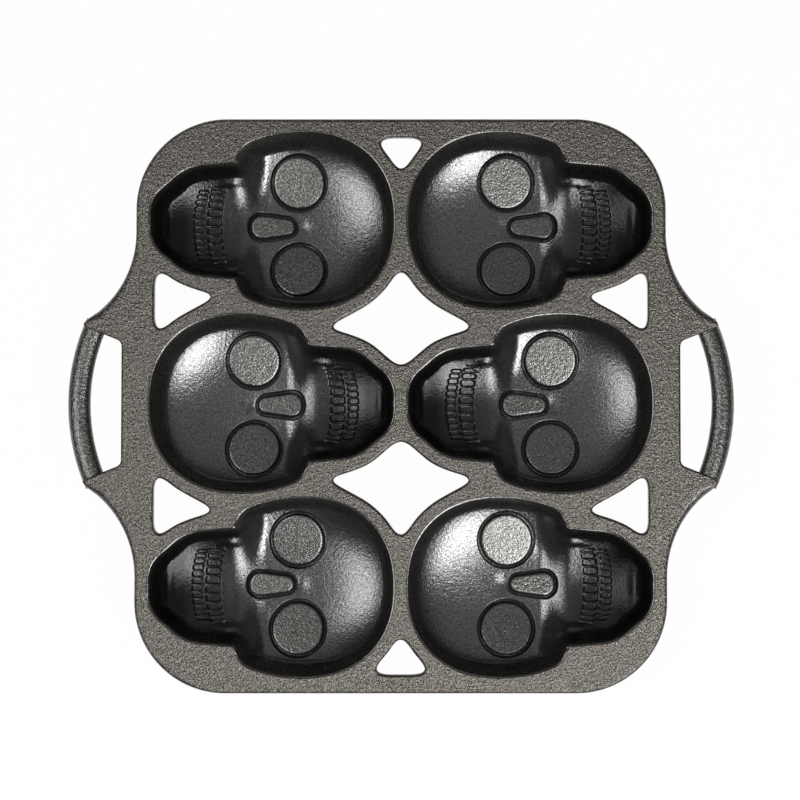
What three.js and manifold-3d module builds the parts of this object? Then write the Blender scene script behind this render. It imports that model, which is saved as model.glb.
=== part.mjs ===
// Six-cup skull baking pan: a flat deck with sunken skull cups, eight web holes and two grip bars.
// Millimetres, +Z up. The origin lies on the standing plane, below the middle of the deck.
import * as THREE from 'three';
import { mergeVertices } from 'three/addons/utils/BufferGeometryUtils.js';
import Module from 'manifold-3d';

const wasm = await Module();
wasm.setup();

// Skull outline at the deck, measured along the skull's axis from the crown to the chin
const crownRun = 52.8;
const craniumWidth = 102;
const crownPower = 2.25;
const cheekRun = 34.7;
const cheekWidth = 86;
const cheekRound = 5;
const jawStep = 3.5;
const jawBackWidth = 66.6;
const jawLength = 28;
const jawFrontWidth = 62;
const jawRound = 9;
const chinRun = 21;
const chinWidth = 25.6;
const chinRound = 9;

// Cavity floor and walls, depths measured down from the deck's top face
const faceDepth = 33.5;
const domeReach = 1.19;
const domePower = 2.4;
const jawDepth = 28;
const jawArch = 38;
const chinDepth = 18;
const chinPower = 3;
const wallDraft = THREE.MathUtils.degToRad(17);
const floorBlend = 12;

// Raised eyes and nose inside the cavity, each with a moat around it
const eyeAhead = 4.2;
const eyeSpacing = 51.6;
const eyeTopDiameter = 28.8;
const eyeDepth = 29;
const eyeTilt = THREE.MathUtils.degToRad(11);
const noseAhead = 3;
const noseLength = 24.6;
const noseBackWidth = 8;
const noseFrontWidth = 12.6;
const noseDepth = 30.6;
const pillarDraft = THREE.MathUtils.degToRad(13);
const moatWidth = 2.7;
const moatDepth = 2.6;

// Cup walls, the flat foot under each cup and the seam around it
const wallThickness = 4.5;
const footTrim = 0.5;
const rimLand = 1.3;
const seamGap = 0.3;

// Deck with its web holes
const deckThickness = 6;
const deckCornerRadius = 52;
const deckBevel = 1.2;
const middleWeb = 8;
const rowGap = 3;
const sideMargin = 8;
const backMargin = 7.4;
const frontMargin = 9.4;
const holeWeb = 7.8;
const holeMargin = 10.6;
const holeTipRound = 10;
const holeSideRound = 16;

// Ears and grip bars
const fingerGap = 18.5;
const openingLength = 70.6;
const openingStandoff = 8;
const gripWidth = 12.8;
const gripThickness = 10;
const gripDrop = 1.2;
const gripRadius = 113.7;
const earRound = 6.8;
const flareShare = 0.81;
const rootLength = 5;

const ironColour = 0x3a3836;
const ironRoughness = 0.6;
const ironMetalness = 0.5;

// Fineness of the curved shapes
const crownSteps = 6;
const cornerSteps = 2;
const arcSteps = 6;
const pillarSteps = 16;
const holeSteps = 24;
const cavityShares = [0.06, 0.14, 0.25, 0.5, 1];
const shellShares = [0.1, 0.22, 0.5, 0.75, 1];
const tolerance = 0.001;

// Sizes and places that follow from the driving dimensions
const jawEdge = crownRun + cheekRun;
const skullLength = jawEdge + jawStep + jawLength + chinRun;
const panHeight = faceDepth + wallThickness - footTrim;
const columnOffset = (middleWeb + skullLength) / 2;
const rowPitch = craniumWidth + rowGap;
const rowShift = (frontMargin - backMargin) / 2;
const rowCentres = [rowShift + rowPitch, rowShift, rowShift - rowPitch];
const [backRow, middleRow, frontRow] = rowCentres;
const deckHalfWidth = middleWeb / 2 + skullLength + sideMargin;
const deckHalfDepth = rowPitch + (craniumWidth + backMargin + frontMargin) / 2;
const openingX = deckHalfWidth + openingStandoff;
const gripCentreX = openingX + fingerGap + gripWidth / 2 - gripRadius;
const gripAngle = Math.atan2(openingLength / 2, openingX - gripCentreX);
const gripZ = panHeight - gripDrop - gripThickness / 2;
const wallSlope = 1 / Math.tan(wallDraft);
const eyeU = crownRun + eyeAhead;
const noseU = eyeU + noseAhead;

const cupPlaces = [
  { name: 'skull_cup_back_left', x: -columnOffset, y: backRow, turn: Math.PI },
  { name: 'skull_cup_back_right', x: columnOffset, y: backRow, turn: 0 },
  { name: 'skull_cup_middle_left', x: -columnOffset, y: middleRow, turn: 0 },
  { name: 'skull_cup_middle_right', x: columnOffset, y: middleRow, turn: Math.PI },
  { name: 'skull_cup_front_left', x: -columnOffset, y: frontRow, turn: Math.PI },
  { name: 'skull_cup_front_right', x: columnOffset, y: frontRow, turn: 0 },
];

function toSolid(geometry) {
  const bare = geometry.clone();
  bare.deleteAttribute('normal');
  bare.deleteAttribute('uv');
  const merged = mergeVertices(bare, tolerance);
  const vertProperties = merged.getAttribute('position').array;
  const triVerts = new Uint32Array(merged.index.array);
  return new wasm.Manifold(new wasm.Mesh({ numProp: 3, vertProperties, triVerts }));
}

function toGeometry(solid) {
  const mesh = solid.getMesh();
  const indexed = new THREE.BufferGeometry();
  indexed.setAttribute('position', new THREE.BufferAttribute(mesh.vertProperties, 3));
  indexed.setIndex(new THREE.BufferAttribute(mesh.triVerts, 1));
  const geometry = indexed.toNonIndexed();
  geometry.computeVertexNormals();
  return geometry;
}

// A closed body through rings of equal length, lowest ring first, each counter-clockwise from above.
function ringBody(rings) {
  const corners = [];
  const addTriangle = (a, b, c) => {
    const shortest = Math.min(a.distanceTo(b), b.distanceTo(c), c.distanceTo(a));
    if (shortest > tolerance) corners.push(a, b, c);
  };
  const addCap = (ring, facesUp) => {
    const flat = ring.map((p) => new THREE.Vector2(p.x, p.y));
    for (const [a, b, c] of THREE.ShapeUtils.triangulateShape(flat, [])) {
      if (facesUp) addTriangle(ring[a], ring[b], ring[c]);
      else addTriangle(ring[a], ring[c], ring[b]);
    }
  };
  const [lowest] = rings;
  if (lowest.some((p) => Math.abs(p.y) > tolerance)) addCap(lowest, false);
  addCap(rings[rings.length - 1], true);
  for (let r = 0; r + 1 < rings.length; r += 1) {
    rings[r].forEach((low, i) => {
      const j = (i + 1) % rings[r].length;
      addTriangle(low, rings[r][j], rings[r + 1][j]);
      addTriangle(low, rings[r + 1][j], rings[r + 1][i]);
    });
  }
  return new THREE.BufferGeometry().setFromPoints(corners);
}

function ringAt(points, z) {
  return points.map((p) => new THREE.Vector3(p.x, p.y, z));
}

function smoothMin(a, b, blend) {
  const overlap = Math.max(blend - Math.abs(a - b), 0) / blend;
  return Math.min(a, b) - overlap * overlap * blend / 4;
}

function roundedCorner(before, corner, after, radius) {
  const start = corner.clone().add(before.clone().sub(corner).setLength(radius));
  const end = corner.clone().add(after.clone().sub(corner).setLength(radius));
  return new THREE.QuadraticBezierCurve(start, corner, end).getPoints(cornerSteps);
}

// The skull's outline pushed outward by grow, as a closed counter-clockwise loop.
function skullLoop(grow) {
  const halfWidth = craniumWidth / 2 + grow;
  const upper = [];
  for (let i = 0; i <= crownSteps; i += 1) {
    const angle = i / crownSteps * Math.PI / 2;
    const along = Math.cos(angle) ** (2 / crownPower);
    const across = Math.sin(angle) ** (2 / crownPower);
    upper.push(new THREE.Vector2(crownRun - (crownRun + grow) * along, halfWidth * across));
  }
  const cheekEnd = jawEdge + grow;
  const cheekSpan = (cheekRun + grow) / Math.sqrt(1 - (cheekWidth / craniumWidth) ** 2);
  const cheekPoint = (u) => {
    return new THREE.Vector2(u, halfWidth * Math.sqrt(1 - ((u - crownRun) / cheekSpan) ** 2));
  };
  for (let i = 1; i < arcSteps; i += 2) {
    upper.push(cheekPoint(THREE.MathUtils.lerp(crownRun, cheekEnd, i / arcSteps)));
  }
  const miter = Math.tan(Math.PI / 8) * grow;
  const cheek = cheekPoint(cheekEnd);
  const notch = new THREE.Vector2(cheekEnd + jawStep, jawBackWidth / 2 + grow);
  const jaw = new THREE.Vector2(jawEdge + jawStep + jawLength + miter, jawFrontWidth / 2 + grow);
  const chin = new THREE.Vector2(skullLength + grow, chinWidth / 2 + miter);
  const chinMiddle = new THREE.Vector2(skullLength + grow, 0);
  upper.push(...roundedCorner(upper[upper.length - 1], cheek, notch, cheekRound));
  upper.push(notch, notch.clone().lerp(jaw, 1 / 2));
  upper.push(...roundedCorner(notch, jaw, chin, jawRound));
  upper.push(...roundedCorner(jaw, chin, chinMiddle, chinRound));
  const lower = upper.slice(1).map((p) => new THREE.Vector2(p.x, -p.y));
  return [...lower, chinMiddle, ...upper.reverse()];
}

const cavityLoop = skullLoop(0);

function distanceToLoop(u, v, loop) {
  const point = new THREE.Vector3(u, v, 0);
  const nearest = new THREE.Vector3();
  const ring = ringAt(loop, 0);
  const distances = ring.map((start, i) => {
    const edge = new THREE.Line3(start, ring[(i + 1) % ring.length]);
    return edge.closestPointToPoint(point, true, nearest).distanceTo(point);
  });
  return Math.min(...distances);
}

// The face without its walls: a domed cranium that steps up to an arched jaw, which rises to the chin.
function faceDepthAt(u, v) {
  const run = u < crownRun ? crownRun * domeReach : skullLength - crownRun;
  const reach = Math.hypot((u - crownRun) / run, v / (craniumWidth / 2 * domeReach));
  const dome = faceDepth * Math.max(1 - reach ** domePower, 0) ** (1 / domePower);
  const chinShare = THREE.MathUtils.clamp((u - jawEdge) / (skullLength - jawEdge), 0, 1) ** chinPower;
  const jawFloor = THREE.MathUtils.lerp(jawDepth, chinDepth, chinShare);
  const jaw = jawFloor * Math.sqrt(Math.max(1 - (v / jawArch) ** 2, 0));
  const jawness = THREE.MathUtils.smoothstep(u, jawEdge - jawStep, jawEdge + jawStep);
  return THREE.MathUtils.lerp(dome, jaw, jawness);
}

// A body sunk below an outline: upright from top to start, then walled in down to the floor.
function sunkenBody(loop, shares, top, start, floorDepthAt) {
  const rings = [ringAt(loop, top), ringAt(loop, -start)];
  for (const share of shares) {
    rings.push(loop.map((p) => {
      const spineU = THREE.MathUtils.clamp(p.x, crownRun - chinRun, skullLength - chinRun);
      const q = p.clone().lerp(new THREE.Vector2(spineU, 0), share);
      const wallDepth = start + distanceToLoop(q.x, q.y, loop) * wallSlope;
      return new THREE.Vector3(q.x, q.y, -smoothMin(wallDepth, floorDepthAt(q.x, q.y), floorBlend));
    }));
  }
  return ringBody(rings.reverse());
}

// A pillar with its top at z = 0, wider towards its foot, tall enough to reach through the floor.
function pillar(loopAt) {
  const foot = loopAt(Math.tan(pillarDraft) * panHeight);
  return ringBody([ringAt(foot, -panHeight), ringAt(loopAt(0), 0)]);
}

// The room for a moat around such a pillar, open upwards and a little narrower at the bottom.
function moat(loopAt) {
  const spread = Math.tan(pillarDraft) * moatDepth;
  const bottom = ringAt(loopAt(moatWidth - spread), -moatDepth);
  return ringBody([bottom, ringAt(loopAt(moatWidth + spread), 2 * moatDepth)]);
}

function eyeBody(shape, side, topRadius, depth) {
  const circle = (grow) => {
    return new THREE.EllipseCurve(0, 0, topRadius + grow, topRadius + grow).getPoints(pillarSteps).slice(1);
  };
  return shape(circle).rotateX(side * eyeTilt).translate(eyeU, side * eyeSpacing / 2, -depth);
}

function noseLoop(grow) {
  const back = noseBackWidth / 2 + grow;
  const front = noseFrontWidth / 2 + grow;
  const backU = noseU + noseBackWidth / 2;
  const frontU = noseU + noseLength - noseFrontWidth / 2;
  const lean = Math.acos((back - front) / (frontU - backU));
  const frontArc = new THREE.EllipseCurve(frontU, 0, front, front, -lean, lean);
  const backArc = new THREE.EllipseCurve(backU, 0, back, back, lean, 2 * Math.PI - lean);
  return [...frontArc.getPoints(arcSteps), ...backArc.getPoints(arcSteps)];
}

// One cup, its rim at z = 0 and its middle at the origin, the chin towards +X.
function cupGeometry() {
  const shellDepthAt = (u, v) => faceDepthAt(u, v) + wallThickness;
  let cavity = toSolid(sunkenBody(cavityLoop, cavityShares, deckThickness, 0, faceDepthAt));
  let shell = toSolid(sunkenBody(skullLoop(rimLand), shellShares, 0, deckThickness, shellDepthAt));
  cavity = cavity.add(toSolid(moat(noseLoop).translate(0, 0, -noseDepth)));
  cavity = cavity.subtract(toSolid(pillar(noseLoop).translate(0, 0, -noseDepth)));
  const eyeRadius = eyeTopDiameter / 2;
  for (const side of [-1, 1]) {
    cavity = cavity.add(toSolid(eyeBody(moat, side, eyeRadius, eyeDepth)));
    cavity = cavity.subtract(toSolid(eyeBody(pillar, side, eyeRadius, eyeDepth)));
    shell = shell.subtract(toSolid(eyeBody(pillar, side, eyeRadius - wallThickness, eyeDepth + wallThickness)));
  }
  const aboveFoot = new THREE.BoxGeometry(2 * skullLength, 2 * craniumWidth, panHeight + deckThickness);
  aboveFoot.translate(skullLength / 2, 0, (deckThickness - panHeight) / 2);
  const cup = shell.subtract(cavity).intersect(toSolid(aboveFoot));
  return toGeometry(cup).translate(-skullLength / 2, 0, 0);
}

// Room at a point of the deck, between the cups and in from the deck's straight sides.
function webRoom(x, y) {
  let room = Infinity;
  for (const rowY of rowCentres) {
    let rowRoom = Infinity;
    for (const place of cupPlaces.filter((cup) => cup.y === rowY)) {
      const facing = Math.cos(place.turn);
      const u = facing * (x - place.x) + skullLength / 2;
      const cupRoom = distanceToLoop(u, facing * (y - place.y), cavityLoop);
      rowRoom = smoothMin(cupRoom, rowRoom, holeTipRound);
    }
    room = smoothMin(rowRoom, room, holeSideRound);
  }
  const edgeRoom = Math.min(deckHalfWidth - Math.abs(x), deckHalfDepth - Math.abs(y));
  return smoothMin(room, edgeRoom - holeMargin + holeWeb, holeTipRound);
}

// The hole that the webs leave around the roomiest point between two ends.
function webHole(start, end) {
  let centre = start;
  for (let i = 0; i <= holeSteps; i += 1) {
    const p = start.clone().lerp(end, i / holeSteps);
    if (webRoom(p.x, p.y) > webRoom(centre.x, centre.y)) centre = p;
  }
  const points = [];
  for (let i = 0; i < holeSteps; i += 1) {
    const angle = -2 * Math.PI * i / holeSteps;
    const direction = new THREE.Vector2(Math.cos(angle), Math.sin(angle));
    const point = centre.clone();
    let room = Infinity;
    while (room > seamGap / 10) {
      room = webRoom(point.x, point.y) - holeWeb;
      point.addScaledVector(direction, room);
    }
    points.push(point);
  }
  return points;
}

function mirrored(points, signX, signY) {
  const copy = points.map((p) => new THREE.Vector2(signX * p.x, signY * p.y));
  return signX * signY < 0 ? copy.reverse() : copy;
}

// A quarter of the deck's edge, measured from the middle row: ear end, tip, flare, side and rounded corner.
function deckQuarter(halfDepth) {
  const outer = gripRadius + gripWidth / 2;
  const cornerX = deckHalfWidth - deckCornerRadius;
  const cornerY = halfDepth - deckCornerRadius;
  const tipX = gripCentreX + outer * Math.cos(gripAngle);
  const tipY = outer * Math.sin(gripAngle);
  const flareY = THREE.MathUtils.lerp(tipY, cornerY, flareShare);
  const endX = tipX - earRound;
  const endY = tipY + earRound;
  const flareOut = endX - deckHalfWidth;
  const flareRadius = (flareOut ** 2 + (flareY - endY) ** 2) / (2 * flareOut);
  const flareSweep = Math.acos(1 - flareOut / flareRadius);
  const edge = new THREE.Path();
  edge.moveTo(openingX, openingLength / 2);
  edge.lineTo(tipX, tipY);
  edge.quadraticCurveTo(tipX, endY - (tipX - endX) / Math.tan(flareSweep), endX, endY);
  edge.absarc(deckHalfWidth + flareRadius, flareY, flareRadius, Math.PI + flareSweep, Math.PI, true);
  edge.absarc(cornerX, cornerY, deckCornerRadius, 0, Math.PI / 2, false);
  const points = edge.getPoints(arcSteps);
  return points.filter((p, i) => i === 0 || p.distanceTo(points[i - 1]) > deckBevel);
}

function deckSlab() {
  const back = deckQuarter(deckHalfDepth - middleRow);
  const front = deckQuarter(deckHalfDepth + middleRow);
  const edge = [
    ...back,
    ...mirrored(back, -1, 1),
    ...mirrored(front, -1, -1),
    ...mirrored(front, 1, -1),
  ];
  const outline = new THREE.Shape(edge.map((p) => new THREE.Vector2(p.x, p.y + middleRow)));
  const sideX = deckHalfWidth - holeMargin - holeWeb;
  for (const [rowY, edgeY] of [[backRow, deckHalfDepth], [frontRow, -deckHalfDepth]]) {
    const middleHole = webHole(new THREE.Vector2(0, middleRow), new THREE.Vector2(0, rowY));
    const sideHole = webHole(new THREE.Vector2(sideX, middleRow), new THREE.Vector2(sideX, rowY));
    const endHole = webHole(new THREE.Vector2(0, rowY), new THREE.Vector2(0, edgeY));
    for (const hole of [middleHole, sideHole, mirrored(sideHole, -1, 1), endHole]) {
      outline.holes.push(new THREE.Path(hole));
    }
  }
  const slab = new THREE.ExtrudeGeometry(outline, {
    depth: deckThickness - 2 * deckBevel,
    bevelThickness: deckBevel,
    bevelSize: deckBevel,
    bevelOffset: -deckBevel,
    bevelSegments: 1,
  });
  return slab.translate(0, 0, panHeight - deckThickness + deckBevel);
}

// Where a grip bar runs out under an ear: half an egg that carries on the bar's own section.
function gripRoot(turn, end) {
  const egg = new THREE.SphereGeometry(1, pillarSteps, arcSteps);
  egg.scale(gripWidth / 2, rootLength, gripThickness / 2);
  const beyondEnd = new THREE.BoxGeometry(2 * gripWidth, 2 * rootLength, 2 * gripThickness);
  beyondEnd.translate(0, end * (rootLength + deckBevel), 0);
  const [root, keep] = [egg, beyondEnd].map((geometry) => {
    geometry.translate(gripRadius, 0, 0).rotateZ(end * gripAngle);
    return toSolid(geometry.translate(gripCentreX, 0, gripZ).rotateZ(turn).translate(0, middleRow, 0));
  });
  return root.intersect(keep);
}

function deckGeometry() {
  let deck = toSolid(deckSlab());
  for (const turn of [0, Math.PI]) {
    for (const end of [-1, 1]) deck = deck.add(gripRoot(turn, end));
  }
  const cutLoop = skullLoop(rimLand + seamGap);
  for (const { x, y, turn } of cupPlaces) {
    const cutter = ringBody([ringAt(cutLoop, -panHeight), ringAt(cutLoop, deckThickness)]);
    cutter.translate(-skullLength / 2, 0, 0).rotateZ(turn).translate(x, y, panHeight);
    deck = deck.subtract(toSolid(cutter));
  }
  return toGeometry(deck);
}

// The middle line of the right grip bar, from one ear's end face to the other's.
class GripArc extends THREE.Curve {
  getPoint(share, target = new THREE.Vector3()) {
    const angle = (2 * share - 1) * (gripAngle - seamGap / gripRadius);
    return target.set(gripCentreX + gripRadius * Math.cos(angle), gripRadius * Math.sin(angle), gripZ);
  }
}

function gripGeometry() {
  const section = new THREE.Shape();
  section.absellipse(0, 0, gripThickness / 2, gripWidth / 2, 0, 2 * Math.PI);
  return new THREE.ExtrudeGeometry(section, {
    steps: 2 * arcSteps,
    curveSegments: arcSteps,
    extrudePath: new GripArc(),
  });
}

function ironMesh(name, geometry) {
  const material = new THREE.MeshStandardMaterial({
    color: ironColour,
    roughness: ironRoughness,
    metalness: ironMetalness,
  });
  const mesh = new THREE.Mesh(geometry, material);
  mesh.name = name;
  return mesh;
}

const pan = new THREE.Group();
pan.name = 'skull_cake_pan';
pan.add(ironMesh('deck_plate', deckGeometry()));

const cupShape = cupGeometry();
for (const { name, x, y, turn } of cupPlaces) {
  const cup = ironMesh(name, cupShape);
  cup.position.set(x, y, panHeight);
  cup.rotation.z = turn;
  pan.add(cup);
}

const gripShape = gripGeometry();
const rightGrip = ironMesh('handle_right', gripShape);
const leftGrip = ironMesh('handle_left', gripShape);
rightGrip.position.y = middleRow;
leftGrip.position.y = middleRow;
leftGrip.rotation.z = Math.PI;
pan.add(rightGrip, leftGrip);

export default pan;
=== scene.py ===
import math

import bpy
import numpy as np
from mathutils.geometry import delaunay_2d_cdt
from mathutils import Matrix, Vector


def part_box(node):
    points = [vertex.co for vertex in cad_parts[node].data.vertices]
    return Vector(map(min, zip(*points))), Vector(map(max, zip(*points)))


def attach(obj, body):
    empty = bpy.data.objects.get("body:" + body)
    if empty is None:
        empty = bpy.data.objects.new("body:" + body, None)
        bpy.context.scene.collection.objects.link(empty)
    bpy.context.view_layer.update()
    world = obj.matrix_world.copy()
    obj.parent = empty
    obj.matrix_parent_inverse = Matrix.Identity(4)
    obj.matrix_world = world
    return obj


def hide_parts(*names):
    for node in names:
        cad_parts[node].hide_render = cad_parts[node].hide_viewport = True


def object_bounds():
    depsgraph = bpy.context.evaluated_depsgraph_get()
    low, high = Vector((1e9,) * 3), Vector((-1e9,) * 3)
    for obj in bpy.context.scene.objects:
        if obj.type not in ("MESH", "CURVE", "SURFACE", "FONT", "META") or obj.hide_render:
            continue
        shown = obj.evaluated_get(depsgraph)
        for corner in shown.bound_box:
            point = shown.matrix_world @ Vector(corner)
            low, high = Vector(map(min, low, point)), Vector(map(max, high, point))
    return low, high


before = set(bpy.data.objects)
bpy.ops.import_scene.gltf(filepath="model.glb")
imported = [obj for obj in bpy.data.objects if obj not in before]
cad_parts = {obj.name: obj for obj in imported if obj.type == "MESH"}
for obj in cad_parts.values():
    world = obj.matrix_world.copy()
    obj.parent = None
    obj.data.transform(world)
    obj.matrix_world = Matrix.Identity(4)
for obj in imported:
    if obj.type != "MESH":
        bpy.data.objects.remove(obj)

# Sizes are millimetres, meshes are metres. +Z is up, the deck's top face is the highest plane.
mm = 0.001
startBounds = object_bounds()
panHeight = startBounds[1].z / mm


def linearColour(code):
    channels = [int(code[i:i + 2], 16) / 255 for i in (1, 3, 5)]
    return [c / 12.92 if c <= 0.04045 else ((c + 0.055) / 1.055) ** 2.4 for c in channels] + [1.0]


def addNode(tree, kind, settings=None, sockets=None):
    node = tree.nodes.new(kind)
    node.location = (190 * len(tree.nodes), 0)
    for key, value in (settings or {}).items():
        setattr(node, key, value)
    for key, value in (sockets or {}).items():
        named = [s for s in node.inputs if s.enabled and s.name == key]
        socket = node.inputs[key] if isinstance(key, int) else named[0]
        if isinstance(value, bpy.types.NodeSocket):
            tree.links.new(value, socket)
        else:
            socket.default_value = value
    return node


def smoothMin(a, b, blend):
    overlap = np.maximum(blend - np.abs(a - b), 0) / blend
    return np.minimum(a, b) - overlap * overlap * blend / 4


def smoothMax(a, b, blend):
    return -smoothMin(-a, -b, blend)


def smoothStep(x, low, high):
    t = np.clip((x - low) / (high - low), 0, 1)
    return t * t * (3 - 2 * t)


def hump(offset, reach):
    return np.exp(-(offset / reach) ** 2)


def roundCorner(before, corner, after, radius, count):
    before, corner, after = (np.asarray(p, float) for p in (before, corner, after))
    start = corner + (before - corner) / np.linalg.norm(before - corner) * radius
    end = corner + (after - corner) / np.linalg.norm(after - corner) * radius
    t = np.linspace(0, 1, count)[:, None]
    return (1 - t) ** 2 * start + 2 * t * (1 - t) * corner + t ** 2 * end


def evenly(loop, spacing):
    closed = np.vstack([loop, loop[:1]])
    along = np.concatenate([[0], np.cumsum(np.linalg.norm(np.diff(closed, axis=0), axis=1))])
    places = np.linspace(0, along[-1], round(along[-1] / spacing), endpoint=False)
    return np.stack([np.interp(places, along, closed[:, k]) for k in (0, 1)], 1)


# Distance to a closed loop, positive inside it
def loopDistance(points, loop):
    ends = np.roll(loop, -1, axis=0)
    nearest = np.full(len(points), np.inf)
    inside = np.zeros(len(points), bool)
    for start, end in zip(loop, ends):
        edge = end - start
        away = points - start
        share = np.clip(away @ edge / max(edge @ edge, 1e-12), 0, 1)
        nearest = np.minimum(nearest, np.linalg.norm(away - share[:, None] * edge, axis=1))
        if start[1] != end[1]:
            crosses = (start[1] > points[:, 1]) != (end[1] > points[:, 1])
            inside ^= crosses & (away[:, 0] < away[:, 1] * edge[0] / edge[1])
    return np.where(inside, nearest, -nearest)


# Triangles between the first loop and the others, as indices into the points
def fillLoops(points, loops):
    found = delaunay_2d_cdt([tuple(p) for p in points], [], loops, 1, 1e-7, True)
    source = [ids[0] for ids in found[3]]
    return [[source[i] for i in face] for face, owners in zip(found[2], found[5]) if owners == [0]]


def makeMesh(name, points, faces, sharp):
    mesh = bpy.data.meshes.new(name)
    mesh.from_pydata((points * mm).tolist(), [], faces)
    mesh.polygons.foreach_set("use_smooth", [True] * len(mesh.polygons))
    ends = np.empty(2 * len(mesh.edges), int)
    mesh.edges.foreach_get("vertices", ends)
    mesh.edges.foreach_set("use_edge_sharp", sharp[ends.reshape(-1, 2)].all(1))
    mesh.update()
    return mesh


def makePiece(name, mesh, *nodes):
    piece = bpy.data.objects.new(name, mesh)
    bpy.context.scene.collection.objects.link(piece)
    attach(piece, "root")
    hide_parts(*nodes)


# Puts an object through node trees, each with its input values, and gives back a plain mesh
def runTrees(source, steps):
    carrier = bpy.data.objects.new("carrier", source)
    bpy.context.scene.collection.objects.link(carrier)
    for tree, values in steps:
        modifier = carrier.modifiers.new(tree.name, "NODES")
        modifier.node_group = tree
        for item in tree.interface.items_tree:
            if item.in_out == "INPUT" and item.name in values:
                modifier[item.identifier] = values[item.name]
    view = bpy.context.evaluated_depsgraph_get()
    mesh = bpy.data.meshes.new_from_object(carrier.evaluated_get(view))
    carrier.modifiers.clear()
    bpy.data.objects.remove(carrier)
    return mesh


def newTree(name, inputs):
    tree = bpy.data.node_groups.new(name, "GeometryNodeTree")
    tree.is_modifier = True
    tree.interface.new_socket("Geometry", in_out="OUTPUT", socket_type="NodeSocketGeometry")
    for label, kind in inputs.items():
        tree.interface.new_socket(label, in_out="INPUT", socket_type="NodeSocket" + kind)
    return tree


# Seasoned cast iron: sand-cast grain that sparkles on the deck and handles, a smoother satin skin
# with soft highlights in the cups, and dull black painted shade in the jaws
iron = {
    "deckDark": "#33302d",
    "deckPale": "#948f88",
    "cupDark": "#595958",
    "cupPale": "#848483",
    # painted shade: the near-black colour that the jaws are darkened towards
    "paintedShade": "#1d1c1c",
    "grain": 0.85,  # grit of the moulding sand, drawn coarser than it is so that it shows
    "speckle": (0.34, 0.66),  # span of the grain noise that goes from dark to pale
    "pits": 1.9,  # small hollows between the grains
    "cloud": 38,  # blotches of the seasoning
    "deckRough": (0.24, 0.44),
    "cupRough": (0.17, 0.25),
    "deckRelief": 0.5,  # height of grain and pits
    "cupRelief": 0.11,
    "metallic": 0.92,
}


def makeIron():
    material = bpy.data.materials.new("seasonedCastIron")
    material.use_nodes = True
    tree = material.node_tree
    tree.nodes.clear()
    place = addNode(tree, "ShaderNodeTexCoord").outputs["Object"]
    satin = addNode(tree, "ShaderNodeAttribute", {"attribute_name": "satin"}).outputs["Fac"]
    grain = addNode(tree, "ShaderNodeTexNoise", None, {
        "Vector": place, "Scale": 1 / (iron["grain"] * mm), "Detail": 2.0, "Roughness": 0.6,
    }).outputs["Fac"]
    pits = addNode(tree, "ShaderNodeTexNoise", None, {
        "Vector": place, "Scale": 1 / (iron["pits"] * mm), "Detail": 1.0,
    }).outputs["Fac"]
    cloud = addNode(tree, "ShaderNodeTexNoise", None, {
        "Vector": place, "Scale": 1 / (iron["cloud"] * mm), "Detail": 3.0,
    }).outputs["Fac"]
    speckle = addNode(tree, "ShaderNodeMapRange", None, {
        "Value": grain, "From Min": iron["speckle"][0], "From Max": iron["speckle"][1],
    }).outputs["Result"]
    deckColour = addNode(tree, "ShaderNodeMix", {"data_type": "RGBA"}, {
        "Factor": speckle, "A": linearColour(iron["deckDark"]), "B": linearColour(iron["deckPale"]),
    }).outputs["Result"]
    cupColour = addNode(tree, "ShaderNodeMix", {"data_type": "RGBA"}, {
        "Factor": speckle, "A": linearColour(iron["cupDark"]), "B": linearColour(iron["cupPale"]),
    }).outputs["Result"]
    skin = addNode(tree, "ShaderNodeMix", {"data_type": "RGBA"}, {
        "Factor": satin, "A": deckColour, "B": cupColour,
    }).outputs["Result"]
    # Painted shade: this attribute darkens the colour in the jaws, standing in for their shade
    paintedShade = addNode(tree, "ShaderNodeAttribute", {"attribute_name": "paintedShade"}).outputs["Fac"]
    colour = addNode(tree, "ShaderNodeMix", {"data_type": "RGBA"}, {
        "Factor": paintedShade, "A": skin, "B": linearColour(iron["paintedShade"]),
    }).outputs["Result"]
    deckRough = addNode(tree, "ShaderNodeMapRange", None, {
        "Value": grain, "To Min": iron["deckRough"][0], "To Max": iron["deckRough"][1],
    }).outputs["Result"]
    cupRough = addNode(tree, "ShaderNodeMapRange", None, {
        "Value": cloud, "To Min": iron["cupRough"][0], "To Max": iron["cupRough"][1],
    }).outputs["Result"]
    rough = addNode(tree, "ShaderNodeMix", {"data_type": "FLOAT"}, {
        "Factor": satin, "A": deckRough, "B": cupRough,
    }).outputs["Result"]
    relief = addNode(tree, "ShaderNodeMix", {"data_type": "FLOAT"}, {
        "Factor": satin, "A": iron["deckRelief"] * mm, "B": iron["cupRelief"] * mm,
    }).outputs["Result"]
    height = addNode(tree, "ShaderNodeMath", {"operation": "ADD"}, {
        0: grain, 1: pits,
    }).outputs["Value"]
    lift = addNode(tree, "ShaderNodeMath", {"operation": "MULTIPLY"}, {
        0: height, 1: relief,
    }).outputs["Value"]
    normal = addNode(tree, "ShaderNodeBump", None, {"Height": lift, "Distance": 1.0}).outputs["Normal"]
    shader = addNode(tree, "ShaderNodeBsdfPrincipled", None, {
        "Base Color": colour, "Roughness": rough, "Metallic": iron["metallic"], "Normal": normal,
    }).outputs["BSDF"]
    addNode(tree, "ShaderNodeOutputMaterial", None, {"Surface": shader})
    return material


castIron = makeIron()
print("material ready")

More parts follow.
